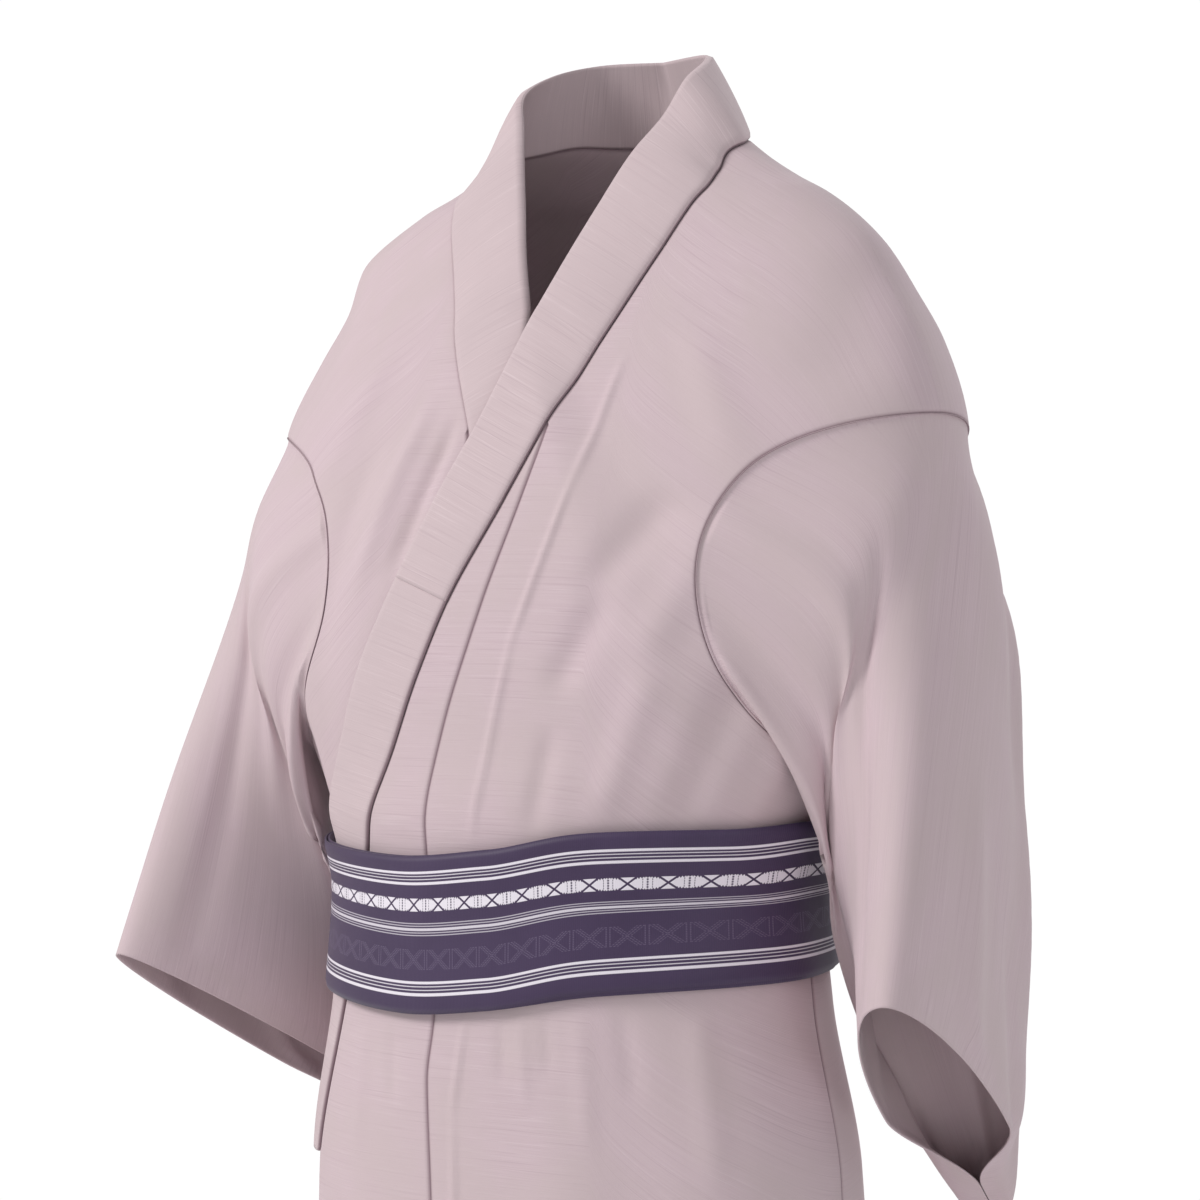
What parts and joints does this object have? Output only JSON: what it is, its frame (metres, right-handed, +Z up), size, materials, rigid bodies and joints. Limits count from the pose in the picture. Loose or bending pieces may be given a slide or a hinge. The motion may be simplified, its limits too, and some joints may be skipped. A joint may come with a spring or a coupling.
{
  "type": "kimono",
  "caption": "Ankle-length kimono in pale grey-mauve slub cloth, worn left over right, with a narrow dark purple sash patterned in white and tied behind.",
  "frame": {"origin": "on the body's vertical axis, level with the base of the neck, where the wearer's shoulders hold the kimono up", "axes": "+Z up along the body, -Y to the front, +X to the wearer's left"},
  "size_m": [0.5577, 0.3196, 1.4755],
  "materials": {
    "kimono_cloth": "matt pale grey-mauve slub weave",
    "sash_cloth": "dense dark purple sash weave with woven white stripes and figures"
  },
  "bodies": {
    "root": {"body_left": "kimono_cloth", "overlap_left": "kimono_cloth", "sleeve_left": "kimono_cloth", "body_right": "kimono_cloth", "overlap_right": "kimono_cloth", "sleeve_right": "kimono_cloth", "collar": "kimono_cloth", "over_collar": "kimono_cloth", "sash_inner_turn": "sash_cloth", "sash_outer_turn": "sash_cloth", "sash_tail_end": "sash_cloth", "sash_hand_end": "sash_cloth", "sash_knot": "sash_cloth"}
  },
  "joints": []
}
